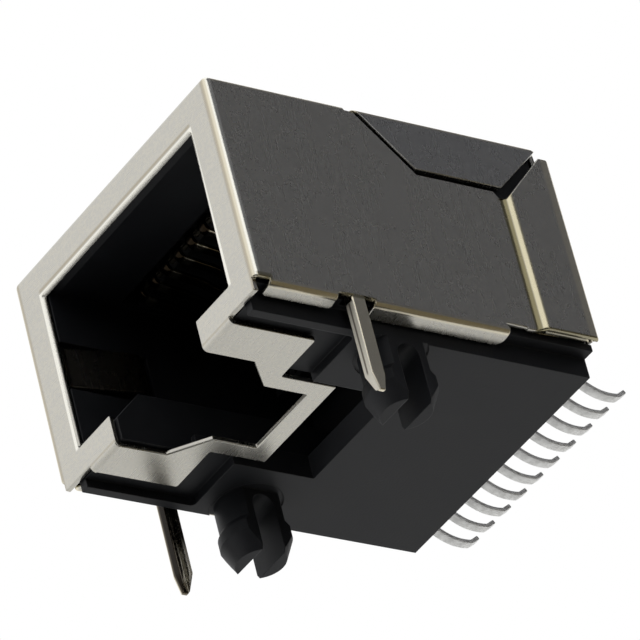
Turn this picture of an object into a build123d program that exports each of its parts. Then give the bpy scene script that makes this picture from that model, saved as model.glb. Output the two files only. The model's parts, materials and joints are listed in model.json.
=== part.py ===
from build123d import *
import os
from math import cos, radians, sin

# A shielded modular jack with ten contacts, for surface mounting, in millimetres.
# Up is +Z, the plug goes in along +Y, and +X is on the right of someone who looks into the jack.
# The pieces are drawn from the plane of the shield's front and the board's surface, and are saved
# with the origin on the board's surface, midway between the two board pegs.

# Contacts
contact_count = 10
contact_pitch = 1.016
tail_pitch = 1.27
contact_width = 0.45
contact_thickness = 0.2

# Sheet metal of the shield
sheet = 0.25
bend_radius = 0.3
shield_width = 15.7
shield_top = 11.6
shield_depth = 17.6
wall_foot = 0.72
wall_edge = 1.22
rear_wall_foot = 1.35

# Opening in the front of the shield
opening_width = 12.14
opening_foot = 1.65
opening_top = 9.8
latch_opening_width = 6.86
opening_corner = 0.15

# Frame that is folded back under the opening
frame_foot = 0.14
frame_width = 11.1
frame_shoulder = 4.4
frame_neck_width = 5.7
frame_rear = 7.23
frame_bar = 0.96
frame_slot_width = 4.0
frame_taper_front = 2.6
frame_taper_rear = 4.0
frame_bend_radius = 0.26

# Edges folded in under the side walls
front_fold_width = 0.81
rear_fold_width = 0.92
front_relief = 0.75
relief_top = 1.15
front_fold_rear = 4.25
rear_fold_front = 6.12
rear_fold_end = 4.38
fold_corner = 0.25
notch_top = 1.02
notch_front = 4.48

# Trapezoid wing that hangs from the top over each side
wing_foot = 8.85
wing_front_top = 7.75
wing_front_foot = 10.35
wing_rear_end = 2.65
wing_front_gap = 0.3
wing_foot_gap = 0.3
wing_rear_gap = 0.7
wing_relief = 0.48
wing_relief_depth = 0.3

# Flap of each side wall that steps out and laps round the rear corner
lap_clearance = 0.05
flap_end = 2.88
flap_step_length = 0.4
flap_foot = 1.15
flap_return = 1.9
flap_drop = 0.95
step_radius = 0.3
lap_slot = 0.35

# Ground pins, each a channel that is formed from the side wall
pin_place = 5.26
pin_width = 0.72
pin_depth = 0.55
pin_web = 0.2
pin_reach = 3.8
pin_taper = 0.9
pin_tip_width = 0.3
pin_tip_depth = 0.3
pin_root = 0.45

# Spring tongues inside the opening, which earth the plug
tongue_foot = 5.05
tongue_height = 2.1
tongue_straight = 0.55
tongue_length = 3.9
tongue_lean = 0.55
tongue_curl = 0.12
tongue_clearance = 0.2

# Moulded housing
housing_gap = 0.05
housing_side_clearance = 0.15
housing_top_clearance = 0.1
plinth_width = 13.66
plinth_height = 0.97
plinth_overhang = 0.28
front_recess_depth = 0.45
front_recess_rear = 5.78
recess_rim = 0.43
cavity_width = 11.9
cavity_top = 9.95
cavity_depth = 13.2
shoulder_top = 3.05
shoulder_ramp = 1.65
latch_channel_foot = 1.2
latch_slot_width = 6.24
latch_slot_rear = 9.95
mouth_widening = 0.23

# Board pegs, split so that they snap into their holes
peg_spacing = 11.43
peg_place = 8.1
peg_neck = 2.9
peg_barb = 3.2
peg_tip = 2.3
peg_flat_width = 2.23
peg_slot = 1.15
peg_length = 3.05
peg_shoulder = 1.35
peg_barb_top = 1.6
peg_barb_foot = 2.1
peg_slot_root = 0.15
peg_relief = 0.05
peg_relief_depth = 0.08

# Carrier that holds the contacts and closes the rear of the cavity
carrier_clearance = 0.05
carrier_width = 12.7
carrier_top = 10.75
carrier_rear_gap = 0.25
shelf_width = 11.2
shelf_front = 4.85
foot_width = 12.3
foot_base = 0.58
foot_set_back = 0.04
comb_depth = 2.1
comb_foot = 6.1
comb_top = 8.7
comb_slot = 0.66
comb_slot_depth = 1.5
contact_clearance = 0.02

# Route of a contact, seen from the side
spring_tip_gap = 1.25
spring_slope = 22.0
spring_bend = 6.0
spring_nose = 4.3
spring_nose_height = 9.62
spring_nose_slope = 8.0
spring_level = 10.18
spring_bend_radius = 1.5
nose_radius = 0.26
leg_cover = 0.65
leg_bend_radius = 0.3
leg_overlap = 0.6

# Solder tail of a contact
tail_exit_height = 0.66
tail_exit_gap = 0.18
tail_knee_radius = 0.8
tail_dive = 30.0
tail_sole_radius = 2.35
tail_sole_end = 10.0
tail_toe = 35.0
tail_toe_radius = 0.25
tail_toe_length = 0.49

# Places that follow from the sizes above
shield_side = shield_width / 2
wall_inside = shield_side - sheet
housing_front = sheet + housing_gap
housing_side = wall_inside - housing_side_clearance
housing_top = shield_top - sheet - housing_top_clearance
housing_rear = shield_depth + plinth_overhang
peg_side = peg_spacing / 2
wing_rear_foot = shield_depth - wing_rear_end
flap_start = shield_depth - flap_end
rear_fold_rear = shield_depth - rear_fold_end
carrier_rear = shield_depth - sheet - carrier_rear_gap
foot_rear = housing_rear - foot_set_back
leg_place = carrier_rear - leg_cover
tail_exit = housing_rear - tail_exit_gap
comb_front = cavity_depth - comb_depth
spring_tip = cavity_depth - spring_tip_gap


def block(x_range, y_range, z_range):
    """A box between the given limits."""
    size = [high - low for low, high in (x_range, y_range, z_range)]
    middle = [(high + low) / 2 for low, high in (x_range, y_range, z_range)]
    return Pos(*middle) * Box(*size)


def both_sides(right):
    """A solid on the right together with its mirror image on the left."""
    return right + mirror(right, about=Plane.YZ)


def from_side(points, x_range):
    """An outline in Y and Z, made solid between two places along X."""
    face = make_face(Polyline(*points, close=True))
    return extrude(Pos(x_range[0], 0, 0) * (Plane.YZ * face), amount=x_range[1] - x_range[0])


def from_below(outline, z_range):
    """A sketch in X and Y, made solid between two heights."""
    return extrude(Pos(0, 0, z_range[0]) * outline, amount=z_range[1] - z_range[0])


def from_front(outline, y_range):
    """A sketch in X and Z, made solid between two places along Y."""
    return extrude(Pos(0, y_range[0], 0) * (Plane.XZ * outline), amount=y_range[0] - y_range[1])


def strip_face(line, thickness, side=Side.LEFT):
    """The section of a bent strip, whose thickness lies on one side of its line."""
    return make_face(offset(line, amount=thickness, side=side).edges())


def mirrored_outline(half):
    """A closed face from the points of its right half, given from front to rear."""
    return make_face(Polyline(*half, *[(-x, y) for x, y in reversed(half)], close=True))


def shield_shell():
    """The wrapped sheet before its cut-outs: front, top, rear, sides and the edge folds."""
    height = shield_top - wall_foot
    middle = Pos(0, shield_depth / 2, wall_foot + height / 2)
    outer = middle * Box(shield_width, shield_depth, height)
    hollow = 2 * sheet
    inner = middle * Box(shield_width - hollow, shield_depth - hollow, height - hollow)
    inside_radius = bend_radius - sheet
    return fillet(outer.edges(), bend_radius) - fillet(inner.edges(), inside_radius)


def underside_cut():
    """What is cut from the underside, so that only the two folds of each side wall stay."""
    beyond = shield_side + sheet
    cut = Pos(0, shield_depth / 2) * Rectangle(2 * beyond, shield_depth + 2 * sheet)
    folds = (
        (front_fold_width, front_relief, front_fold_rear, fold_corner),
        (rear_fold_width, rear_fold_front, rear_fold_rear, 2 * fold_corner),
    )
    for width, front, rear, radius in folds:
        outline = Pos(beyond - (width + sheet) / 2, (front + rear) / 2) * Rectangle(width + sheet, rear - front)
        front_corner, rear_corner = outline.vertices().sort_by(Axis.X)[:2].sort_by(Axis.Y)
        fold = fillet(rear_corner, radius)
        fold = fillet(fold.vertices().sort_by_distance(front_corner)[0], fold_corner / 2)
        cut = cut - fold - mirror(fold, about=Plane.YZ)
    return from_below(cut, (wall_foot - sheet, wall_foot + bend_radius))


def wing_gap():
    """The gap round the right wing, which also parts it from the side wall and the flap."""
    rise = shield_top - wing_foot
    lean = (wing_front_foot - wing_front_top) / rise
    over = shield_top + sheet
    gap_foot = wing_foot - wing_foot_gap
    relief_foot = shield_top - wing_relief_depth
    front_foot = wing_front_foot - wing_front_gap + wing_foot_gap * lean
    relief_side = wing_front_top - wing_front_gap + wing_relief_depth * lean
    flap_top = wing_foot - wing_rear_gap
    points = [
        (wing_front_top, over), (wing_front_top, shield_top),
        (wing_front_foot, wing_foot), (wing_rear_foot, wing_foot),
        (wing_rear_foot + rise, shield_top), (wing_rear_foot + rise, over),
        (wing_rear_foot + over - flap_top, over), (wing_rear_foot, flap_top),
        (flap_start, flap_top), (flap_start - wing_foot_gap, gap_foot),
        (front_foot, gap_foot), (relief_side, relief_foot),
        (wing_front_top - wing_relief, relief_foot), (wing_front_top - wing_relief, over),
    ]
    return from_side(points, (shield_side - bend_radius, shield_side + 2 * sheet))


def side_cuts():
    """What is cut from the right wall below the wing: the pin's notch and the rear slot."""
    x_range = (shield_side - 2 * sheet, shield_side + sheet)
    pin_notch = block(x_range, (notch_front, rear_fold_front), (0, notch_top))
    slot = block(x_range, (flap_start + step_radius / 2, flap_start + step_radius / 2 + lap_slot), (0, wing_foot))
    fold_end = [
        (rear_fold_rear - 2 * fold_corner / 3, wall_edge), (rear_fold_rear, wall_edge - fold_corner),
        (rear_fold_rear, 0), (shield_depth, 0), (shield_depth, wall_edge),
    ]
    return pin_notch + slot + from_side(fold_end, x_range)


def rear_flap():
    """The right flap: a step outwards, a straight lap and a return behind the rear wall."""
    outside = shield_side + lap_clearance + sheet
    rear = shield_depth + lap_clearance + sheet
    line = FilletPolyline(
        (shield_side, flap_start - 2 * sheet), (shield_side, flap_start),
        (outside, flap_start + flap_step_length), (outside, rear), (outside - flap_return, rear),
        radius=[step_radius, step_radius, bend_radius],
    )
    flap = from_below(strip_face(line, sheet), (flap_foot, shield_top))
    flap_top = wing_foot - wing_rear_gap
    behind = flap_start + 4 * sheet
    above = [
        (0, flap_top), (wing_rear_foot, flap_top),
        (wing_rear_foot + shield_top - flap_top, shield_top + sheet),
        (wing_rear_foot + shield_top - flap_top, shield_top + 2 * sheet), (0, shield_top + 2 * sheet),
    ]
    over_flap = from_side(above, (0, 2 * shield_side))
    over_return = block((0, 2 * shield_side), (behind, rear + sheet), (shield_top - flap_drop, shield_top + sheet))
    return_foot = block(
        (0, outside - bend_radius), (shield_depth - sheet, rear + sheet), (0, rear_wall_foot)
    )
    return flap - over_flap - over_return - return_foot


def ground_pin():
    """The right ground pin: a channel, open inwards, that narrows to its tip."""
    outer = Rectangle(pin_depth, pin_width)
    outer = fillet(outer.vertices().sort_by(Axis.X)[2:], pin_web / 2)
    inner = Pos(-pin_web) * Rectangle(pin_depth, pin_width - 2 * pin_web)
    section = Pos(shield_side - pin_depth / 2, pin_place) * (outer - inner)
    channel = from_below(section, (-pin_reach, notch_top + pin_root))
    taper_start = pin_taper - pin_reach
    top = notch_top + pin_root
    sides = [
        (pin_place - pin_width / 2, top), (pin_place - pin_width / 2, taper_start),
        (pin_place - pin_tip_width / 2, -pin_reach), (pin_place + pin_tip_width / 2, -pin_reach),
        (pin_place + pin_width / 2, taper_start), (pin_place + pin_width / 2, top),
    ]
    inner_side = shield_side - pin_depth
    front = [
        (shield_side, top), (inner_side, top), (inner_side, taper_start),
        (shield_side - pin_tip_depth, -pin_reach), (shield_side, -pin_reach),
    ]
    narrowed = from_side(sides, (inner_side - sheet, shield_side + sheet))
    trimmed = from_front(make_face(Polyline(*front, close=True)), (0, 2 * pin_place))
    return channel & narrowed & trimmed


def spring_tongue():
    """The right earthing tongue, folded back from the edge of the opening."""
    edge = opening_width / 2
    line = FilletPolyline(
        (edge, sheet / 2), (edge, tongue_straight), (edge - tongue_lean, tongue_length),
        (edge - tongue_lean + tongue_curl, tongue_length + 2 * sheet),
        radius=[2 * sheet, 2 * sheet],
    )
    blade = strip_face(line, sheet, Side.RIGHT)
    return from_below(blade, (tongue_foot, tongue_foot + tongue_height))


def front_opening():
    """The hole for the plug and, below it, for the plug's latch."""
    plug = Pos(0, (opening_foot + opening_top) / 2) * RectangleRounded(
        opening_width, opening_top - opening_foot, opening_corner
    )
    latch = Pos(0, opening_foot / 2) * Rectangle(latch_opening_width, opening_foot + 2 * opening_corner)
    return from_front(plug + latch, (-sheet, 1.2 * sheet))


def folded_frame():
    """The front's foot and the frame folded back from it under the opening."""
    line = FilletPolyline(
        (0, opening_foot), (0, frame_foot), (frame_rear, frame_foot), radius=frame_bend_radius
    )
    angle = extrude(Plane.YZ * strip_face(line, sheet), amount=shield_side - bend_radius, both=True)
    foot_side = shield_side - bend_radius
    outer = mirrored_outline(
        [
            (foot_side, -sheet), (foot_side, sheet), (frame_width / 2, sheet),
            (frame_width / 2, frame_shoulder), (frame_neck_width / 2, frame_shoulder),
            (frame_neck_width / 2, frame_rear),
        ]
    )
    shoulder_corners = [v for v in outer.vertices() if v.Y > 2 * sheet and abs(v.X) > frame_neck_width / 2 + sheet]
    outer = fillet(shoulder_corners, opening_corner)
    inner = mirrored_outline(
        [
            (latch_opening_width / 2, -sheet), (latch_opening_width / 2, frame_taper_front),
            (frame_slot_width / 2, frame_taper_rear), (frame_slot_width / 2, frame_rear - frame_bar),
        ]
    )
    frame = angle & from_below(outer - inner, (frame_foot - sheet, opening_foot + sheet))
    lower_corners = frame.edges().filter_by(Axis.Y).filter_by(lambda e: abs(e.center().X) > foot_side - sheet / 2)
    return fillet(lower_corners.sort_by(Axis.Z)[:2], bend_radius)


def make_shield():
    """The shield, one folded sheet."""
    foot_side = shield_side + sheet
    front_relief_cut = block((-foot_side, foot_side), (-sheet, front_relief), (0, relief_top))
    rear_wall_cut = block(
        (-wall_inside, wall_inside), (shield_depth - 2 * sheet, shield_depth + sheet), (0, rear_wall_foot)
    )
    shell = shield_shell() - underside_cut() - front_relief_cut - rear_wall_cut
    shell = shell - both_sides(side_cuts()) - both_sides(wing_gap())
    added = rear_flap() + ground_pin() + spring_tongue()
    return shell + folded_frame() + both_sides(added) - front_opening()


def housing_block():
    """The outside of the housing: the body over a narrower plinth."""
    section = mirrored_outline(
        [
            (plinth_width / 2, 0), (plinth_width / 2, plinth_height),
            (housing_side, plinth_height), (housing_side, housing_top),
        ]
    )
    body_rear = shield_depth - sheet - housing_gap
    body = from_front(section, (housing_front, body_rear))
    step = mirrored_outline(
        [
            (plinth_width / 2, 0), (plinth_width / 2, plinth_height),
            (housing_side, plinth_height), (housing_side, rear_wall_foot - housing_gap),
        ]
    )
    return body + from_front(step, (body_rear - sheet, housing_rear))


def plug_cavity():
    """The space for the plug, with the latch channel and the ramps in front of its shoulders."""
    half = cavity_width / 2
    main = block((-half, half), (0, cavity_depth + carrier_clearance), (shoulder_top, cavity_top))
    channel_half = latch_opening_width / 2 - housing_gap
    channel = block(
        (-channel_half, channel_half), (0, cavity_depth + carrier_clearance), (latch_channel_foot, shoulder_top + sheet)
    )
    ramp = [
        (0, opening_foot - 2 * housing_gap), (housing_front, opening_foot - 2 * housing_gap),
        (housing_front + shoulder_ramp, shoulder_top + sheet), (0, shoulder_top + sheet),
    ]
    wide_slot = block((-channel_half, channel_half), (0, frame_taper_rear), (-sheet, latch_channel_foot + sheet))
    slot_half = latch_slot_width / 2
    slot = block((-slot_half, slot_half), (0, latch_slot_rear), (-sheet, latch_channel_foot + sheet))
    mouth = [
        (0, cavity_top), (0, cavity_top + mouth_widening), (housing_front, cavity_top + mouth_widening),
        (housing_front + 2 * mouth_widening, cavity_top),
    ]
    return main + channel + from_side(ramp, (-half, half)) + wide_slot + slot + from_side(mouth, (-half, half))


def side_pockets():
    """The pockets on the right for the earthing tongue and for the root of the ground pin."""
    half = cavity_width / 2
    tongue = block(
        (half - sheet, opening_width / 2 + sheet + tongue_clearance),
        (0, tongue_length + 2 * sheet + 2 * tongue_clearance),
        (tongue_foot - tongue_clearance, tongue_foot + tongue_height + tongue_clearance),
    )
    root_half = pin_width / 2 + tongue_clearance
    root = block(
        (shield_side - pin_depth - tongue_clearance, shield_side),
        (pin_place - root_half, pin_place + root_half),
        (plinth_height - sheet, notch_top + pin_root + tongue_clearance),
    )
    return tongue + root


def front_recess():
    """The recess under the front, which the folded frame lies in."""
    width = plinth_width - 2 * recess_rim
    outline = Pos(0, front_recess_rear / 2) * Rectangle(width, front_recess_rear)
    outline = fillet(outline.vertices().sort_by(Axis.Y)[2:], fold_corner)
    return from_below(outline, (-sheet, front_recess_depth))


def carrier_pocket():
    """The space behind and above the cavity for the contact carrier."""
    half = carrier_width / 2 + carrier_clearance
    top = carrier_top + carrier_clearance
    rear = block((-half, half), (cavity_depth, housing_rear), (rear_wall_foot - housing_gap, top))
    shelf_half = shelf_width / 2 + carrier_clearance
    shelf = block(
        (-shelf_half, shelf_half), (spring_nose - 2 * contact_thickness, cavity_depth + sheet), (cavity_top - sheet, top)
    )
    foot_half = foot_width / 2 + carrier_clearance
    foot_front = leg_place - carrier_clearance - contact_thickness
    foot = block(
        (-foot_half, foot_half), (foot_front, housing_rear + sheet), (foot_base - carrier_clearance, plinth_height + 2 * sheet)
    )
    return rear + shelf + foot


def board_peg():
    """The right board peg: a barbed round peg with flats, split across."""
    line = Polyline(
        (0, front_recess_depth), (peg_neck / 2, front_recess_depth), (peg_neck / 2, -peg_shoulder),
        (peg_barb / 2, -peg_barb_top), (peg_barb / 2, -peg_barb_foot),
        (peg_tip / 2, -peg_length), (0, -peg_length), close=True,
    )
    turned = revolve(Plane.XZ * make_face(line), axis=Axis.Z)
    flats = Box(peg_flat_width, 2 * peg_barb, 4 * peg_length)
    root_middle = peg_slot_root + peg_slot / 2
    straight = Pos(0, -root_middle - peg_length) * Rectangle(peg_slot, 2 * peg_length)
    slot_face = straight + Pos(0, -root_middle) * Circle(peg_slot / 2)
    slot = extrude(Plane.YZ * slot_face, amount=peg_barb, both=True)
    return Pos(peg_side, peg_place, 0) * (turned & flats - slot)


def peg_root_relief():
    """The shallow relief round the right peg's root, as wide as the hole that the barb passes."""
    outline = Pos(peg_side, peg_place) * Circle(peg_barb / 2 + peg_relief)
    return from_below(outline, (-sheet, peg_relief_depth))


def make_housing():
    """The moulded housing with its cavity, recesses and two board pegs."""
    housing = housing_block() - plug_cavity() - front_recess() - carrier_pocket()
    housing = housing - both_sides(side_pockets() + peg_root_relief())
    return housing + both_sides(board_peg())


def spring_strip(grow=0.0):
    """The front of a contact from the side: spring, nose and the run along the shelf."""
    tip_height = spring_nose_height + (spring_bend - spring_nose) * -slope(spring_nose_slope)
    end_height = tip_height - (spring_tip - spring_bend) * slope(spring_slope)
    line = FilletPolyline(
        (spring_tip, end_height), (spring_bend, tip_height), (spring_nose, spring_nose_height),
        (spring_nose, spring_level), (leg_place, spring_level), (leg_place, spring_level - leg_overlap),
        radius=[spring_bend_radius, nose_radius, nose_radius, leg_bend_radius],
    )
    return thickened(line, Side.RIGHT, grow)


def slope(angle):
    """How far a line falls for each unit of its run."""
    return sin(radians(angle)) / cos(radians(angle))


def tail_strip(grow=0.0):
    """The rear of a contact from the side: the foot of its leg and the solder tail."""
    dive = radians(tail_dive)
    drop = tail_exit_height - (tail_knee_radius + tail_sole_radius) * (1 - cos(dive))
    leg = Line((leg_place, tail_exit_height + leg_bend_radius + leg_overlap),
               (leg_place, tail_exit_height + leg_bend_radius))
    heel = JernArc(leg @ 1, (0, -1), leg_bend_radius, 90)
    run = Line(heel @ 1, (tail_exit, tail_exit_height))
    knee = JernArc(run @ 1, (1, 0), tail_knee_radius, -tail_dive)
    fall = PolarLine(knee @ 1, drop / sin(dive), -tail_dive)
    sole = JernArc(fall @ 1, (cos(dive), -sin(dive)), tail_sole_radius, tail_dive + tail_sole_end)
    bend = JernArc(sole @ 1, sole % 1, tail_toe_radius, tail_toe - tail_sole_end)
    toe = PolarLine(bend @ 1, tail_toe_length, tail_toe)
    return thickened(leg + heel + run + knee + fall + sole + bend + toe, Side.LEFT, grow)


def thickened(line, side, grow):
    """A contact's section along its line, grown all round where it makes room for the contact."""
    face = strip_face(line, contact_thickness, side)
    return offset(face, amount=grow) if grow else face


def make_contact(index, grow=0.0):
    """One contact: spring, leg and solder tail, with the leg leading from one pitch to the other."""
    place = index - (contact_count - 1) / 2
    spring_x, tail_x = place * contact_pitch, place * tail_pitch
    half = contact_width / 2 + grow
    spring = extrude(Pos(spring_x, 0, 0) * (Plane.YZ * spring_strip(grow)), amount=half, both=True)
    tail = extrude(Pos(tail_x, 0, 0) * (Plane.YZ * tail_strip(grow)), amount=half, both=True)
    leg_top = spring_level - leg_bend_radius
    leg_foot = tail_exit_height + leg_bend_radius
    bend_top, bend_foot = leg_top - leg_overlap, leg_foot + leg_overlap
    outline = Polyline(
        (spring_x - half, leg_top), (spring_x - half, bend_top), (tail_x - half, bend_foot),
        (tail_x - half, leg_foot), (tail_x + half, leg_foot), (tail_x + half, bend_foot),
        (spring_x + half, bend_top), (spring_x + half, leg_top), close=True,
    )
    leg = from_front(make_face(outline), (leg_place - grow, leg_place + contact_thickness + grow))
    return spring + leg + tail


def make_carrier():
    """The contact carrier: rear block, shelf, foot and the comb that guides the springs."""
    half = carrier_width / 2
    foot_top = rear_wall_foot + carrier_clearance
    rear = block((-half, half), (cavity_depth + carrier_clearance, carrier_rear), (foot_top, carrier_top))
    shelf_half = shelf_width / 2
    shelf = block((-shelf_half, shelf_half), (shelf_front, cavity_depth + 2 * sheet), (cavity_top, carrier_top))
    foot_half = foot_width / 2
    foot_front = leg_place - contact_thickness
    foot = block(
        (-foot_half, foot_half), (foot_front, foot_rear), (foot_base, rear_wall_foot - housing_gap)
    )
    foot = foot + block((-foot_half, foot_half), (foot_front, carrier_rear), (foot_base, foot_top + sheet))
    comb_half = contact_count * contact_pitch / 2 + comb_slot / 2
    comb = block((-comb_half, comb_half), (comb_front, cavity_depth + 2 * sheet), (comb_foot, comb_top))
    carrier = rear + shelf + foot + comb
    for index in range(contact_count):
        middle = (index - (contact_count - 1) / 2) * contact_pitch
        slot = (middle - comb_slot / 2, middle + comb_slot / 2)
        carrier = carrier - block(slot, (0, comb_front + comb_slot_depth), (comb_foot + sheet, comb_top + sheet))
        carrier = carrier - make_contact(index, contact_clearance)
    return carrier


def save(part, name):
    """Writes one node in the part's own frame and prints its volume."""
    solids = (Pos(0, -peg_place, 0) * part).solids()
    print(f"{name}: {len(solids)} solid, {sum(s.volume for s in solids):.2f} mm3")
    export_step(solids[0] if len(solids) == 1 else Compound(solids), f"parts/{name}.step")


os.makedirs("parts", exist_ok=True)
save(make_shield(), "shield")
save(make_housing(), "housing")
save(make_carrier(), "contact_carrier")
for index in range(contact_count):
    save(make_contact(index), f"contact_{index + 1:02d}")
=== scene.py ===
"""Looks of a shielded modular jack with ten contacts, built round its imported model.

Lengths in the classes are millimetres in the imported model's frame, and become metres when a piece is made.
"""

import json
import logging
import math
from dataclasses import dataclass
from enum import Enum
from typing import Any, Callable, Iterable, Optional, Union

import bmesh
import bpy
from mathutils import Euler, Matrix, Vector

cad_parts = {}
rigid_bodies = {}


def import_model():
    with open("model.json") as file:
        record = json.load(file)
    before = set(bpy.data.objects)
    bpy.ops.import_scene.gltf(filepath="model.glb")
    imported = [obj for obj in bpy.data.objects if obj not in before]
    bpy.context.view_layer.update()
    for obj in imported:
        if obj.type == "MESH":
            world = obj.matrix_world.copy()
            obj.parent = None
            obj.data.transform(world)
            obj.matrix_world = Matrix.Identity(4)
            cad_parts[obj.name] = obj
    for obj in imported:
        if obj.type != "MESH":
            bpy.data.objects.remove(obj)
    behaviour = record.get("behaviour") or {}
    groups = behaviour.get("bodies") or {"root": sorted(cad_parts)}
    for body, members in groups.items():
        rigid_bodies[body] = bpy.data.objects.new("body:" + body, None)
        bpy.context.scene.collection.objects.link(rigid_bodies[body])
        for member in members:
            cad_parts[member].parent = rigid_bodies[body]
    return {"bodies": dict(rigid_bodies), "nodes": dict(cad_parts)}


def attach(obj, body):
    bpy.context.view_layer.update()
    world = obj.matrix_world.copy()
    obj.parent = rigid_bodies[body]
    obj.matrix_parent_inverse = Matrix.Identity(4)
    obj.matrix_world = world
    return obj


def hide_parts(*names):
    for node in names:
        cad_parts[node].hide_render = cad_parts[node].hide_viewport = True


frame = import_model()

MM = 0.001
BODY = "root"
# Angles are in degrees and welds in metres.
SHARP_ANGLE = 50.0
SMOOTH_ANGLE = 35.0
FLAT_ANGLE = 0.4
NODE_WELD = 2e-6
STRIP_WELD = 1e-7
FACE_WEIGHT = 100
BEVEL_SAMPLES = 6

Number = Union[float, int]
Colour = tuple[float, float, float]
Cells = tuple[float, float, float]
# The value at which a mask starts and the one at which it is full, which is the lower one when it falls.
Step = tuple[float, float]
# The values at which a mask starts, is full, starts to fade and has faded.
Band = tuple[float, float, float, float]
# How far the rounded normal turns from the face's own where an edge starts and where it is full.
EDGE_TURN: Step = (0.01, 0.2)
log = logging.getLogger("modular_jack")


class Side(Enum):
    """An end of the jack along X, seen from its front."""

    LEFT = -1.0
    RIGHT = 1.0


# Shader maths


class Signal:
    """A value that runs through a material's nodes, with the operators of plain arithmetic."""

    def __init__(self, graph: "FinishGraph", socket: bpy.types.NodeSocket) -> None:
        """Wraps one output socket of a graph."""
        self.graph = graph
        self.socket = socket

    def _maths(self, operation: str, *terms: Any) -> "Signal":
        """Adds one Math node with its values or links in order."""
        inputs = dict(enumerate(terms))
        return self.graph.node("ShaderNodeMath", {"operation": operation}, inputs)

    def __add__(self, other: Any) -> "Signal":
        """Self plus other."""
        return self._maths("ADD", self, other)

    def __sub__(self, other: Any) -> "Signal":
        """Self minus other."""
        return self._maths("SUBTRACT", self, other)

    def __rsub__(self, other: Any) -> "Signal":
        """Other minus self."""
        return self._maths("SUBTRACT", other, self)

    def __mul__(self, other: Any) -> "Signal":
        """Self times other."""
        return self._maths("MULTIPLY", self, other)

    def __abs__(self) -> "Signal":
        """Self without its sign."""
        return self._maths("ABSOLUTE", self)

    __radd__ = __add__
    __rmul__ = __mul__

    def most(self, other: Any) -> "Signal":
        """The larger of self and other."""
        return self._maths("MAXIMUM", self, other)

    def rise(self, low: Number, high: Number) -> "Signal":
        """A smooth step.

        Args:
            low: The value at which the step starts from 0.
            high: The value at which it reaches 1, which may be below low.
        Returns:
            The step, from 0 to 1.
        """
        settings = {"interpolation_type": "SMOOTHSTEP"}
        inputs = {"Value": self, "From Min": low, "From Max": high}
        if high < low:
            inputs = {"Value": self, "From Min": high, "From Max": low, "To Min": 1.0, "To Max": 0.0}
        return self.graph.node("ShaderNodeMapRange", settings, inputs)

    def between(self, start: Number, full: Number, fade: Number, end: Number) -> "Signal":
        """A smooth step up that comes down again.

        Args:
            start: The value at which the mask starts from 0.
            full: The value at which it reaches 1.
            fade: The value at which it starts to fall.
            end: The value at which it is 0 again.
        Returns:
            The mask, from 0 to 1.
        """
        return self.rise(start, full) * self.rise(end, fade)


@dataclass(frozen=True)
class Spot:
    """The point that is shaded.

    Its place is in metres and its X, Y and Z are in millimetres. Facing is how far its face turns to +Y.
    """

    place: Signal
    x: Signal
    y: Signal
    z: Signal
    facing: Signal


class FinishGraph:
    """The nodes of one material or of the world."""

    def __init__(self, tree: bpy.types.NodeTree) -> None:
        """Empties a node tree to build in it."""
        self.tree = tree
        self.tree.nodes.clear()

    def node(
        self,
        kind: str,
        settings: Optional[dict[str, Any]] = None,
        inputs: Optional[dict[Union[str, int], Any]] = None,
        output: Union[str, int] = 0,
    ) -> Signal:
        """Adds one node.

        Args:
            kind: The node's type.
            settings: Its own settings, set before its sockets.
            inputs: Values or links by the name or number of the socket.
            output: The name or number of the socket that is read from it.
        Returns:
            What the node gives.
        """
        made = self.tree.nodes.new(kind)
        for name, value in (settings or {}).items():
            setattr(made, name, value)
        for key, value in (inputs or {}).items():
            socket = made.inputs[key]
            if isinstance(value, Signal):
                self.tree.links.new(value.socket, socket)
            elif isinstance(value, tuple) and len(value) == 3 and socket.type == "RGBA":
                socket.default_value = (*value, 1.0)
            else:
                socket.default_value = value
        return Signal(self, made.outputs[output] if made.outputs else None)

    def other(self, signal: Signal, output: Union[str, int]) -> Signal:
        """Another output of the node that a signal comes from."""
        return Signal(self, signal.socket.node.outputs[output])

    def axes(self, vector: Signal) -> tuple[Signal, Signal, Signal]:
        """The X, Y and Z of a vector."""
        x = self.node("ShaderNodeSeparateXYZ", inputs={0: vector})
        return x, self.other(x, 1), self.other(x, 2)

    def spot(self) -> Spot:
        """Reads the point that is shaded.

        Returns:
            The point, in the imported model's frame.
        """
        place = self.node("ShaderNodeTexCoord", output="Object")
        x, y, z = (part * (1 / MM) for part in self.axes(place))
        _, facing, _ = self.axes(self.node("ShaderNodeNewGeometry", output="True Normal"))
        return Spot(place, x, y, z, facing)

    def blend(self, share: Any, first: Any, second: Any) -> Signal:
        """A colour between two others.

        Args:
            share: How much of the second is taken, from 0 to 1.
            first: The colour at 0.
            second: The colour at 1.
        Returns:
            The mixed colour.
        """
        settings = {"data_type": "RGBA"}
        return self.node("ShaderNodeMix", settings, {"Factor": share, 6: first, 7: second}, output=2)

    def bump(self, height: Signal, depth: float, below: Optional[Signal] = None) -> Signal:
        """Turns a height pattern into a normal.

        Args:
            height: The pattern.
            depth: How deep its relief is, in millimetres.
            below: A normal that it is laid over.
        Returns:
            The normal.
        """
        inputs = {"Height": height, "Distance": depth * MM, "Strength": 1.0}
        if below is not None:
            inputs["Normal"] = below
        return self.node("ShaderNodeBump", inputs=inputs)

    def soft_edges(self, radius: float) -> tuple[Signal, Signal]:
        """Rounds the edges of a surface as it is shaded.

        Args:
            radius: How far from an edge the rounding reaches, in millimetres.
        Returns:
            The rounded normal, and a mask that is 1 on the edges.
        """
        rounded = self.node("ShaderNodeBevel", {"samples": BEVEL_SAMPLES}, {"Radius": radius * MM})
        flat = self.node("ShaderNodeNewGeometry", output="True Normal")
        settings = {"operation": "DOT_PRODUCT"}
        facing = self.node("ShaderNodeVectorMath", settings, {0: rounded, 1: flat}, output="Value")
        return rounded, (1.0 - facing).rise(*EDGE_TURN)


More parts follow.
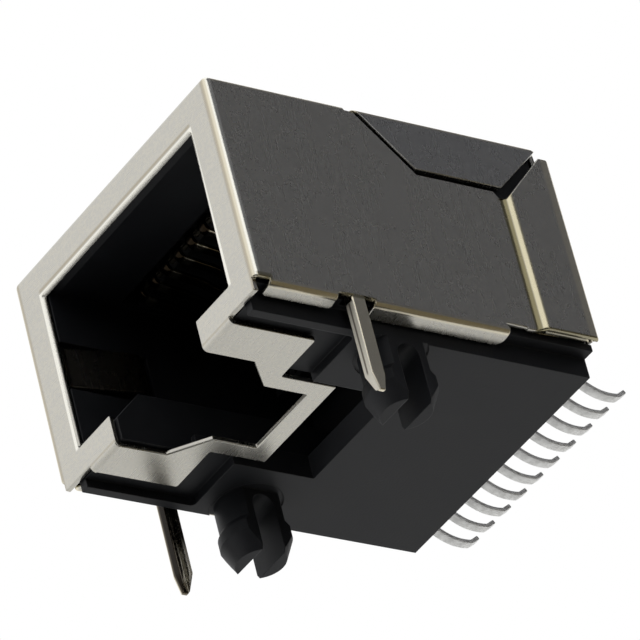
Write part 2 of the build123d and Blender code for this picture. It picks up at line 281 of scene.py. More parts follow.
@dataclass(frozen=True)
class Clouds:
    """A noise pattern: its cells per millimetre along X, Y and Z, its finer layers and their strength."""

    cells: Cells
    detail: float = 2.0
    rough: float = 0.5

    def over(self, graph: FinishGraph, spot: Spot) -> Signal:
        """Lays the pattern over a piece.

        Args:
            graph: The material's nodes.
            spot: The point that is shaded.
        Returns:
            The noise, from 0 to 1.
        """
        scale = tuple(value / MM for value in self.cells)
        scaled = graph.node("ShaderNodeVectorMath", {"operation": "MULTIPLY"}, {0: spot.place, 1: scale})
        inputs = {"Vector": scaled, "Scale": 1.0, "Detail": self.detail, "Roughness": self.rough}
        return graph.node("ShaderNodeTexNoise", inputs=inputs)


@dataclass(frozen=True)
class Layer:
    """A colour that lies over a finish, and how much it covers where its mask is 1."""

    tint: Colour
    cover: float = 1.0

    def over(self, graph: FinishGraph, below: Any, mask: Signal) -> Signal:
        """Lays the colour over another one.

        Args:
            graph: The material's nodes.
            below: The colour under it.
            mask: Where it lies, from 0 to 1.
        Returns:
            The mixed colour.
        """
        return graph.blend(mask * self.cover, below, self.tint)


class Finish:
    """What every finish shares: a material with one shader that is filled in by the finish."""

    title: str

    def material(self) -> bpy.types.Material:
        """Builds the material the first time that it is asked for.

        Returns:
            The material.
        """
        found = bpy.data.materials.get(self.title)
        if found:
            return found
        made = bpy.data.materials.new(self.title)
        made.use_nodes = True
        graph = FinishGraph(made.node_tree)
        surface = graph.node("ShaderNodeBsdfPrincipled", inputs=self.sockets(graph))
        graph.node("ShaderNodeOutputMaterial", inputs={"Surface": surface})
        return made

    def sockets(self, graph: FinishGraph) -> dict[str, Any]:
        """The values and links of the shader's sockets."""
        raise NotImplementedError


@dataclass(frozen=True)
class PlatedSheet(Finish):
    """Plated sheet with a brushed grain and polished bends, painted highlights and painted shade, and cut
    edges darkened to olive.
    """

    title: str = "shield_plated_finish"
    plating: Colour = (0.60, 0.58, 0.515)
    worn: Layer = Layer((0.52, 0.50, 0.445))
    peeled: Layer = Layer((0.45, 0.455, 0.46), 0.3)
    wings: Layer = Layer((0.45, 0.455, 0.46), 0.5)
    # Cream tint on the bends: partly the plating's own yellowish tone, partly a painted highlight.
    bend_tint_and_highlight: Layer = Layer((0.80, 0.735, 0.57), 0.8)
    # Painted highlight on the crest of the opening's rolled edge.
    crest_highlight: Layer = Layer((0.95, 0.93, 0.85), 0.85)
    # Painted highlight on the outward half of the flap's step.
    painted_step_highlight: Layer = Layer((0.78, 0.71, 0.48), 0.85)
    # Painted highlight on the side half of the front's upright bends.
    painted_bend_glint: Layer = Layer((0.99, 0.98, 0.9), 0.9)
    # Painted shade in the crease between the front and the opening's rolled edge.
    lip_crease_shade: Layer = Layer((0.36, 0.31, 0.22), 0.7)
    # Painted shade where the flat front turns into its bends.
    front_crease_shade: Layer = Layer((0.36, 0.31, 0.22), 0.55)
    # Painted shade on the hollow half of the flap's step, and an olive darkening of the cut edges and the
    # flap's foot.
    olive: Layer = Layer((0.27, 0.24, 0.14))
    # Painted shade on the sheared sides of the folded frame.
    frame_edge_shade: Layer = Layer((0.13, 0.11, 0.085), 0.9)
    # Painted highlight on the right pin's front face and a stripe on the left pin's inner flank.
    painted_pin_highlight: Layer = Layer((0.80, 0.76, 0.66), 0.9)
    # Painted shade in the pins' groove, on the left pin's inner front and on its flank.
    painted_pin_shade: Layer = Layer((0.13, 0.11, 0.085), 0.9)
    shaded_tongues: Layer = Layer((0.13, 0.11, 0.085))
    # Painted shade, near black, over the left pin's front.
    painted_left_pin_shade: Layer = Layer((0.012, 0.009, 0.006))

    wall_grain: Clouds = Clouds((0.35, 6.0, 0.35))
    end_grain: Clouds = Clouds((0.4, 0.4, 6.0))
    cloud: Clouds = Clouds((0.35, 0.35, 0.35), 4.0, 0.55)
    peel: Clouds = Clouds((7.0, 7.0, 7.0), 1.0)
    smudges: Clouds = Clouds((0.9, 0.5, 0.7), 5.0, 0.65)
    end_facing: Step = (0.4, 0.8)
    peel_range: Step = (0.35, 0.65)
    smudge_range: Step = (0.5, 0.78)
    grain_wear: float = 0.5
    cloud_wear: float = 0.3
    grain_depth: float = 0.00012
    peel_depth: float = 0.00015

    roughness: float = 0.25
    grain_roughness: float = 0.04
    smudge_roughness: float = 0.04
    bend_polish: float = 0.06
    pin_roughness: float = 0.15
    # How much metal is taken away where painted highlights lie, so that they look bright from every side.
    highlight_metal_drop: float = 0.75

    side: float = 7.85
    front: float = -8.1
    rear: float = 9.5
    top: float = 11.6
    foot: float = 0.72
    bend: float = 0.34

    wing_slant: float = 0.945
    wing_foot: float = 8.8
    wing_level: Step = (8.8, 8.84)
    wing_side: Step = (7.73, 7.81)
    wing_front: Step = (-0.45, -0.35)
    wing_rear: Step = (7.0, 6.9)

    opening_side: float = 6.07
    opening_top: float = 9.8
    lip_depth: Step = (-7.7, -7.8)
    lip_level: Step = (1.6, 1.75)
    lip_crest: Band = (-0.05, -0.01, 0.12, 0.2)
    lip_crease_band: Band = (0.14, 0.26, 0.28, 0.42)
    lip_crease_ends: Step = (6.27, 6.07)
    crest_highlight_depth: Step = (-8.08, -7.98)

    crease_depth: Step = (-8.04, -8.08)
    crease_upright: Band = (7.39, 7.54, 7.61, 7.71)
    crease_level: Band = (0.33, 0.38, 0.45, 0.5)
    crease_level_ends: Step = (7.51, 7.46)
    crease_level_share: float = 0.7
    glint_depth: Band = (-8.05, -7.97, -7.82, -7.76)
    glint_side: Step = (7.6, 7.65)
    glint_level: Step = (1.02, 1.12)

    step_side: Step = (7.73, 7.79)
    step_level: Step = (8.8, 8.78)
    step_shade_band: Band = (6.5, 6.6, 6.77, 6.85)
    step_glint_band: Band = (6.77, 6.85, 7.02, 7.12)
    flap_depth: Step = (6.42, 6.62)
    flap_level: Step = (1.25, 1.2)
    cut_cover: float = 0.8

    frame_side: Band = (5.52, 5.54, 5.6, 5.65)
    frame_level: Step = (0.45, 0.4)
    frame_depth: Step = (-7.8, -7.75)
    cut_side: Step = (7.45, 7.55)
    cut_level: Step = (0.85, 0.95)
    relief_level: Step = (1.3, 1.2)
    relief_depth: Band = (-8.0, -7.9, -7.25, -7.15)
    notch_level: Step = (1.12, 1.07)
    notch_depth: Band = (-3.75, -3.65, -1.95, -1.85)

    pin_side: Step = (7.2, 7.25)
    pin_level: Step = (0.8, 0.7)
    pin_start: Step = (-3.4, -3.38)
    pin_end: Step = (-2.8, -2.9)
    pin_facing: Step = (-0.6, -0.85)
    groove_side: Band = (7.48, 7.53, 7.58, 7.63)
    groove_level: Step = (-3.0, -2.8)
    left_end: Step = (-7.0, -7.1)
    left_inner: Step = (7.78, 7.74)
    left_flank: Step = (7.82, 7.78)
    gleam_depth: Step = (-3.0, -2.85)
    gleam_level: Band = (-3.3, -3.0, -1.8, -1.0)
    left_shade_spread: Step = (-7.82, -7.6)

    tongue_side: Step = (6.17, 6.07)
    tongue_depth: Band = (-7.8, -7.6, -3.7, -3.5)
    tongue_level: Band = (2.0, 2.4, 7.3, 7.5)
    tongue_shade_deepening: Step = (-6.6, -4.1)
    tongue_least: float = 0.8

    def bends(self, spot: Spot) -> Signal:
        """Masks the folded corners, where two walls of the box meet.

        Args:
            spot: The point that is shaded.
        Returns:
            The mask.
        """
        near_side = abs(spot.x).rise(self.side - self.bend, self.side - self.bend / 2)
        near_front = spot.y.rise(self.front + self.bend, self.front + self.bend / 2)
        near_rear = spot.y.rise(self.rear - self.bend, self.rear - self.bend / 2)
        near_top = spot.z.rise(self.top - self.bend, self.top - self.bend / 2)
        near_foot = spot.z.rise(self.foot + self.bend, self.foot + self.bend / 2)
        upright = near_side * near_front.most(near_rear)
        level = near_top.most(near_foot) * near_side
        return upright.most(level).most(near_top * near_rear)

    def wing(self, spot: Spot) -> Signal:
        """Masks the trapezoid wings, which lie a shade darker than the walls.

        Args:
            spot: The point that is shaded.
        Returns:
            The mask.
        """
        behind = (spot.y + (spot.z - self.top) * self.wing_slant).rise(*self.wing_front)
        before = (spot.y - (spot.z - self.wing_foot)).rise(*self.wing_rear)
        outside = abs(spot.x).rise(*self.wing_side)
        return spot.z.rise(*self.wing_level) * outside * behind * before

    def lip(self, spot: Spot) -> tuple[Signal, Signal]:
        """Masks the rolled edge round the opening.

        Args:
            spot: The point that is shaded.
        Returns:
            The painted shade in the crease that parts it from the front, and the painted highlight on its
            crest.
        """
        above = spot.z - self.opening_top
        beyond = (abs(spot.x) - self.opening_side).most(above)
        near = spot.y.rise(*self.lip_depth) * spot.z.rise(*self.lip_level)
        crease = above.between(*self.lip_crease_band) * near * abs(spot.x).rise(*self.lip_crease_ends)
        return crease, beyond.between(*self.lip_crest) * near

    def crease_shading(self, spot: Spot) -> Signal:
        """Masks the thin lines of painted shade where the flat front goes over into a bend.

        Args:
            spot: The point that is shaded.
        Returns:
            The mask.
        """
        upright = abs(spot.x).between(*self.crease_upright)
        level = spot.z.between(*self.crease_level) * abs(spot.x).rise(*self.crease_level_ends)
        return upright.most(level * self.crease_level_share) * spot.y.rise(*self.crease_depth)

    def bend_glint(self, spot: Spot) -> Signal:
        """Masks a painted highlight on the half of the front's upright bends next to the side walls."""
        outside = abs(spot.x).rise(*self.glint_side)
        return spot.y.between(*self.glint_depth) * outside * spot.z.rise(*self.glint_level)

    def flap_step(self, spot: Spot) -> tuple[Signal, Signal]:
        """Masks the flap's step.

        Args:
            spot: The point that is shaded.
        Returns:
            Its first half, which gets painted shade, and its second half, which gets a painted highlight.
        """
        outside = abs(spot.x).rise(*self.step_side) * spot.z.rise(*self.step_level)
        return outside * spot.y.between(*self.step_shade_band), outside * spot.y.between(*self.step_glint_band)

    def frame_side_shade(self, spot: Spot) -> Signal:
        """Masks painted shade on the sheared sides of the frame that is folded back under the opening."""
        across = abs(spot.x).between(*self.frame_side) * spot.z.rise(*self.frame_level)
        return across * spot.y.rise(*self.frame_depth)

    def olive_edges(self, spot: Spot) -> Signal:
        """Masks the flap's foot and the cut corners round the front reliefs and the pins' notches, which are
        darkened to olive.

        Args:
            spot: The point that is shaded.
        Returns:
            The mask.
        """
        flap = spot.y.rise(*self.flap_depth) * spot.z.rise(*self.flap_level)
        outside = abs(spot.x).rise(*self.cut_side) * spot.z.rise(*self.cut_level)
        relief = spot.z.rise(*self.relief_level) * spot.y.between(*self.relief_depth)
        notch = spot.z.rise(*self.notch_level) * spot.y.between(*self.notch_depth)
        return flap.most(outside * relief.most(notch))

    def pins(self, spot: Spot) -> tuple[Signal, Signal, Signal]:
        """Masks the ground pins.

        Args:
            spot: The point that is shaded.
        Returns:
            Their painted highlights, the painted shade in the groove and on the flank, and the painted shade
            on the left pin's front.
        """
        out = abs(spot.x)
        here = out.rise(*self.pin_side) * spot.z.rise(*self.pin_level) * spot.y.rise(*self.pin_start)
        front = spot.facing.rise(*self.pin_facing) * here
        face = front * spot.y.rise(*self.pin_end)
        left = spot.x.rise(*self.left_end)
        inner = left * out.rise(*self.left_inner)
        groove = out.between(*self.groove_side) * spot.z.rise(*self.groove_level)
        flank = (1.0 - front) * left * here
        gleam = flank * spot.y.rise(*self.gleam_depth) * spot.z.between(*self.gleam_level)
        light = (face * (1.0 - inner) * (1.0 - left)).most(gleam)
        dark = face * groove.most(inner) + flank * out.rise(*self.left_flank)
        return light, dark * (1.0 - gleam), face * left * spot.x.rise(*self.left_shade_spread)

    def tongues(self, spot: Spot) -> Signal:
        """Masks painted shade on the earthing tongues, which deepens towards their ends.

        Args:
            spot: The point that is shaded.
        Returns:
            The mask.
        """
        inside = abs(spot.x).rise(*self.tongue_side) * spot.y.between(*self.tongue_depth)
        blade = inside * spot.z.between(*self.tongue_level)
        # Painted shade that deepens further into the cavity.
        dulling = spot.y.rise(*self.tongue_shade_deepening) * (1.0 - self.tongue_least)
        return blade * (self.tongue_least + dulling)

    def grain(self, graph: FinishGraph, spot: Spot) -> Signal:
        """Lays the rolling lines, which run over the top and down the sides as on the flat sheet.

        Args:
            graph: The material's nodes.
            spot: The point that is shaded.
        Returns:
            The lines, from 0 to 1.
        """
        walls = self.wall_grain.over(graph, spot)
        ends = self.end_grain.over(graph, spot)
        share = abs(spot.facing).rise(*self.end_facing)
        return walls * (1.0 - share) + ends * share

    def sockets(self, graph: FinishGraph) -> dict[str, Any]:
        """The values and links of the shader's sockets.

        Args:
            graph: The material's nodes.
        Returns:
            Each socket's value by its name.
        """
        spot = graph.spot()
        grain = self.grain(graph, spot)
        cloud = self.cloud.over(graph, spot)
        peel = self.peel.over(graph, spot)
        smudge = self.smudges.over(graph, spot).rise(*self.smudge_range)
        bends = self.bends(spot)
        lip_crease_shade, crest_highlight = self.lip(spot)
        step_shade, step_glint = self.flap_step(spot)
        pin_highlight, pin_shade, left_pin_shade = self.pins(spot)
        layers = (
            (self.worn, grain * self.grain_wear + cloud * self.cloud_wear),
            (self.peeled, peel.rise(*self.peel_range)),
            (self.wings, self.wing(spot)),
            (self.bend_tint_and_highlight, bends),
            (self.crest_highlight, crest_highlight),
            (self.painted_step_highlight, step_glint),
            (self.painted_bend_glint, self.bend_glint(spot)),
            (self.lip_crease_shade, lip_crease_shade),
            (self.front_crease_shade, self.crease_shading(spot)),
            (self.olive, step_shade.most(self.olive_edges(spot) * self.cut_cover)),
            (self.frame_edge_shade, self.frame_side_shade(spot)),
            (self.painted_pin_highlight, pin_highlight),
            (self.painted_pin_shade, pin_shade),
            (self.shaded_tongues, self.tongues(spot)),
            (self.painted_left_pin_shade, left_pin_shade),
        )
        toned = self.plating
        for layer, mask in layers:
            toned = layer.over(graph, toned, mask)
        rough = self.roughness + grain * self.grain_roughness + smudge * self.smudge_roughness
        rough = rough - bends * self.bend_polish + pin_highlight * self.pin_roughness
        relief = graph.bump(peel, self.peel_depth, graph.bump(grain, self.grain_depth))
        # Where the pins and the lip's crest carry painted highlights, the metal turns partly to a bright
        # diffuse finish.
        highlight_share = pin_highlight.most(crest_highlight * spot.y.rise(*self.crest_highlight_depth))
        metal = 1.0 - highlight_share * self.highlight_metal_drop
        return {"Base Color": toned, "Metallic": metal, "Roughness": rough, "Normal": relief}


@dataclass(frozen=True)
class MouldedPlastic(Finish):
    """Black moulded plastic with a fine spark-eroded skin and lighter, worn arrises."""

    title: str = "housing_moulded_finish"
    body: Colour = (0.0075, 0.0082, 0.0105)
    dusty: Layer = Layer((0.0125, 0.0135, 0.0165))
    worn: Layer = Layer((0.05, 0.05, 0.052))
    grit: Clouds = Clouds((9.0, 9.0, 9.0), 3.0, 0.6)
    cloud: Clouds = Clouds((0.5, 0.3, 0.5), 4.0, 0.6)
    specks: Clouds = Clouds((14.0, 14.0, 14.0), 1.0, 0.4)
    cloud_range: Step = (0.35, 0.75)
    speck_range: Step = (0.72, 0.82)
    speck_wear: float = 0.35
    edge_wear: float = 0.4
    edge_radius: float = 0.06
    skin: float = 0.006
    roughness: float = 0.46
    cloud_roughness: float = 0.16
    edge_polish: float = 0.1
    gloss: float = 0.27

    def sockets(self, graph: FinishGraph) -> dict[str, Any]:
        """The values and links of the shader's sockets.

        Args:
            graph: The material's nodes.
        Returns:
            Each socket's value by its name.
        """
        spot = graph.spot()
        rounded, edges = graph.soft_edges(self.edge_radius)
        cloud = self.cloud.over(graph, spot)
        specks = self.specks.over(graph, spot).rise(*self.speck_range)
        toned = self.dusty.over(graph, self.body, cloud.rise(*self.cloud_range))
        toned = self.worn.over(graph, toned, specks * self.speck_wear + edges * self.edge_wear)
        rough = self.roughness + cloud * self.cloud_roughness - edges * self.edge_polish
        relief = graph.bump(self.grit.over(graph, spot), self.skin, rounded)
        return {"Base Color": toned, "Roughness": rough, "Specular IOR Level": self.gloss, "Normal": relief}


@dataclass(frozen=True)
class ContactPlating(Finish):
    """Contact strip: gold at the spring, darkened by painted shade with a painted highlight behind the nose,
    nickel on the leg and dull tin on the solder tail.
    """

    title: str = "contact_plated_finish"
    # Painted shade: the gold spring inside the cavity is darkened as if in shadow.
    painted_dark_gold: Colour = (0.1, 0.072, 0.035)
    # Painted highlight on a band just behind the nose.
    painted_gold_glint: Layer = Layer((0.95, 0.85, 0.64))
    shaded_gold: Layer = Layer((0.014, 0.01, 0.006))
    nickel: Layer = Layer((0.62, 0.59, 0.53))
    bright_tin: Colour = (0.88, 0.88, 0.87)
    dull_tin: Layer = Layer((0.72, 0.72, 0.71))
    waver: Clouds = Clouds((1.4, 1.4, 1.4))
    draw_lines: Clouds = Clouds((22.0, 1.2, 1.2))
    dulling: Clouds = Clouds((3.0, 3.0, 3.0), 4.0, 0.6)
    waver_reach: float = 0.3
    glint_depth: Band = (-3.75, -3.63, -3.4, -3.1)
    shaded_depth: Step = (-3.68, -3.78)
    nickel_start: Step = (-0.2, 0.05)
    tin_start: Step = (8.6, 8.8)
    dull_range: Step = (0.35, 0.7)
    roughness: float = 0.1
    draw_roughness: float = 0.06
    tin_roughness: float = 0.35
    dull_roughness: float = 0.15
    tin_metal: float = 0.25
    draw_depth: float = 0.0012
    dull_depth: float = 0.006

    def sockets(self, graph: FinishGraph) -> dict[str, Any]:
        """The values and links of the shader's sockets.

        Args:
            graph: The material's nodes.
        Returns:
            Each socket's value by its name.
        """
        spot = graph.spot()
        draw = self.draw_lines.over(graph, spot)
        dulled = self.dulling.over(graph, spot)
        line = spot.y + self.waver.over(graph, spot) * self.waver_reach
        tinned = line.rise(*self.tin_start)
        tin = self.dull_tin.over(graph, self.bright_tin, dulled.rise(*self.dull_range))
        # Painted shade over the gold, a painted highlight band behind the nose, and deeper painted shade
        # over the nose.
        gold = self.painted_gold_glint.over(graph, self.painted_dark_gold, spot.y.between(*self.glint_depth))
        gold = self.shaded_gold.over(graph, gold, spot.y.rise(*self.shaded_depth))
        plated = self.nickel.over(graph, gold, line.rise(*self.nickel_start))
        rough = self.roughness + draw * self.draw_roughness
        rough = rough + tinned * (self.tin_roughness + dulled * self.dull_roughness)
        relief = graph.bump(dulled * tinned, self.dull_depth, graph.bump(draw, self.draw_depth))
        metal = 1.0 - tinned * self.tin_metal
        toned = graph.blend(tinned, plated, tin)
        return {"Base Color": toned, "Metallic": metal, "Roughness": rough, "Normal": relief}


@dataclass(frozen=True)
class StudioTone(Finish):
    """A plain tone for the floor and the studio cards."""

    title: str
    tone: Colour
    mottle: Clouds = Clouds((0.01, 0.01, 0.01))
    darker: float = 0.985
    roughness: float = 0.9

    def sockets(self, graph: FinishGraph) -> dict[str, Any]:
        """The values and links of the shader's sockets.

        Args:
            graph: The material's nodes.
        Returns:
            Each socket's value by its name.
        """
        mottle = self.mottle.over(graph, graph.spot())
        darker = tuple(self.darker * part for part in self.tone)
        toned = graph.blend(mottle, self.tone, darker)
        return {"Base Color": toned, "Roughness": self.roughness, "Specular IOR Level": 0.0}


# Modelling


class Edit:
    """Edit mode on one mesh, for the length of a with block."""

    def __init__(self, piece: bpy.types.Object) -> None:
        """Takes the piece that is edited."""
        self.piece = piece

    def __enter__(self) -> "Edit":
        """Selects the piece alone and goes into edit mode."""
        select_alone(self.piece)
        bpy.ops.object.mode_set(mode="EDIT")
        return self

    def __exit__(self, *error: Any) -> None:
        """Goes back to object mode."""
        bpy.ops.object.mode_set(mode="OBJECT")

    def pick(self, wanted: Callable[[Vector], bool]) -> None:
        """Selects the vertices whose place passes a test.

        Args:
            wanted: The test of a place, in metres.
        """
        bpy.ops.mesh.select_mode(type="VERT")
        bpy.ops.mesh.select_all(action="DESELECT")
        mesh = bmesh.from_edit_mesh(self.piece.data)
        for vertex in mesh.verts:
            if wanted(vertex.co):
                vertex.select_set(True)
        mesh.select_flush(True)
        bmesh.update_edit_mesh(self.piece.data)

    def pick_edges(self, wanted: Callable[[Vector], bool]) -> None:
        """Selects the sharp edges both of whose ends pass a test.

        Args:
            wanted: The test of a place, in metres.
        """
        bpy.ops.mesh.select_mode(type="EDGE")
        bpy.ops.mesh.select_all(action="DESELECT")
        mesh = bmesh.from_edit_mesh(self.piece.data)
        for edge in mesh.edges:
            if is_sharp(edge, SHARP_ANGLE) and all(wanted(vertex.co) for vertex in edge.verts):
                edge.select_set(True)
        bmesh.update_edit_mesh(self.piece.data)


def is_sharp(edge: bmesh.types.BMEdge, degrees: float) -> bool:
    """Whether two faces meet at an edge with a turn of more than an angle in degrees."""
    return len(edge.link_faces) == 2 and edge.calc_face_angle() > math.radians(degrees)


def deselect_all() -> None:
    """Deselects every object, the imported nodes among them."""
    bpy.ops.object.select_all(action="DESELECT")


def select_alone(piece: bpy.types.Object) -> None:
    """Selects one object alone and makes it the active one."""
    deselect_all()
    piece.select_set(True)
    bpy.context.view_layer.objects.active = piece


def apply_modifier(piece: bpy.types.Object, modifier: bpy.types.Modifier) -> None:
    """Applies one modifier of a piece."""
    select_alone(piece)
    bpy.ops.object.modifier_apply(modifier=modifier.name)


def primitive(operator: Callable[..., Any], name: str, **settings: Any) -> bpy.types.Object:
    """Adds one primitive.

    Args:
        operator: The operator that adds it.
        name: The piece's name.
        settings: The operator's own settings, in metres.
    Returns:
        The new object.
    """
    deselect_all()
    operator(**settings)
    piece = bpy.context.active_object
    piece.name = name
    piece.data.name = name
    return piece


def settle(piece: bpy.types.Object) -> None:
    """Brings a piece's object to the origin and keeps its place in its mesh."""
    select_alone(piece)
    bpy.ops.object.transform_apply(location=True, rotation=True, scale=True)


def merged_copy(node: bpy.types.Object, name: str) -> bpy.types.Object:
    """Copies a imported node, and joins its loose triangles into flat faces.

    Args:
        node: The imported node, which stays as it is.
        name: The copy's name.
    Returns:
        The copy, free of its body.
    """
    piece = node.copy()
    piece.data = node.data.copy()
    piece.parent = None
    piece.name = piece.data.name = name
    for key in list(piece.keys()):
        del piece[key]
    bpy.context.scene.collection.objects.link(piece)
    with Edit(piece):
        bpy.ops.mesh.select_all(action="SELECT")
        bpy.ops.mesh.remove_doubles(threshold=NODE_WELD)
        bpy.ops.mesh.customdata_custom_splitnormals_clear()
        bpy.ops.mesh.mark_sharp(clear=True)
        bpy.ops.mesh.dissolve_limited(angle_limit=math.radians(FLAT_ANGLE))
    return piece


def round_edges(
    piece: bpy.types.Object,
    width: float,
    segments: int,
    angle: float,
    spared: Optional[Callable[[Vector], bool]] = None,
) -> None:
    """Rounds a piece's sharp edges.

    Args:
        piece: The piece.
        width: The bevel's width in millimetres.
        segments: How many faces make the round.
        angle: Edges sharper than this are rounded, in degrees.
        spared: A test of a place, in metres. An edge whose ends both pass it stays sharp.
    """
    mesh = bmesh.new()
    mesh.from_mesh(piece.data)
    weight = mesh.edges.layers.float.new("bevel_weight_edge")
    for edge in mesh.edges:
        kept = spared is not None and all(spared(vertex.co) for vertex in edge.verts)
        edge[weight] = 1.0 if is_sharp(edge, angle) and not kept else 0.0
    mesh.to_mesh(piece.data)
    mesh.free()
    bevel = piece.modifiers.new("rounded", "BEVEL")
    bevel.width = width * MM
    bevel.segments = segments
    bevel.limit_method = "WEIGHT"
    bevel.use_clamp_overlap = False
    bevel.miter_outer = "MITER_ARC"
    bevel.harden_normals = False
    apply_modifier(piece, bevel)


def even_shading(piece: bpy.types.Object) -> None:
    """Smooths a finished piece's rounds, and keeps its large faces flat."""
    select_alone(piece)
    bpy.ops.object.shade_smooth_by_angle(angle=math.radians(SMOOTH_ANGLE))
    flat = piece.modifiers.new("flat_faces", "WEIGHTED_NORMAL")
    flat.weight = FACE_WEIGHT
    flat.keep_sharp = True
    apply_modifier(piece, flat)


def hold_to(piece: bpy.types.Object, node: bpy.types.Object, reach: float) -> None:
    """Brings back each vertex that a rounding threw off the surface.

    Args:
        piece: The rounded piece.
        node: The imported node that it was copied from.
        reach: How far a vertex may be from the node, in millimetres.
    """
    for vertex in piece.data.vertices:
        found, near, _, _ = node.closest_point_on_mesh(vertex.co)
        if found and (near - vertex.co).length > reach * MM:
            vertex.co = near


def dress(piece: bpy.types.Object, finish: Finish) -> None:
    """Gives a piece one finish in place of what it had."""
    piece.data.materials.clear()
    piece.data.materials.append(finish.material())


def rising_angle(start: tuple[float, float], end: tuple[float, float]) -> float:
    """The heading in degrees from one point to another, in Y and Z."""
    return math.degrees(math.atan2(end[1] - start[1], end[0] - start[0]))


def corner_cut(degrees: float, radius: float) -> float:
    """How much of a straight run a rounded corner takes, in millimetres."""
    return radius * math.tan(math.radians(abs(degrees)) / 2)


@dataclass
class StripWalker:
    """Sweeps a selected end face along runs and bends in the plane across X, as by hand."""

    y: float
    z: float
    heading: float

    def run(self, length: float) -> None:
        """Extrudes the end face straight ahead by a length in millimetres."""
        along_y, along_z = length * math.cos(self.heading), length * math.sin(self.heading)
        bpy.ops.mesh.extrude_region_move(TRANSFORM_OT_translate={"value": (0.0, along_y * MM, along_z * MM)})
        self.y += along_y
        self.z += along_z

    def turn(self, degrees: float, radius: float, steps: int) -> None:
        """Spins the end face round a bend.

        Args:
            degrees: The bend, above 0 to the left of the heading.
            radius: From the bend's centre to the strip's line, in millimetres.
            steps: How many facets the bend has.
        """
        side = math.copysign(1.0, degrees)
        across = self.heading + side * math.pi / 2
        middle_y = self.y + radius * math.cos(across)
        middle_z = self.z + radius * math.sin(across)
        centre = (0.0, middle_y * MM, middle_z * MM)
        bpy.ops.mesh.spin(steps=steps, angle=-math.radians(degrees), center=centre, axis=(1.0, 0.0, 0.0))
        self.heading += math.radians(degrees)
        outward = self.heading - side * math.pi / 2
        self.y = middle_y + radius * math.cos(outward)
        self.z = middle_z + radius * math.sin(outward)


# Sub-assemblies


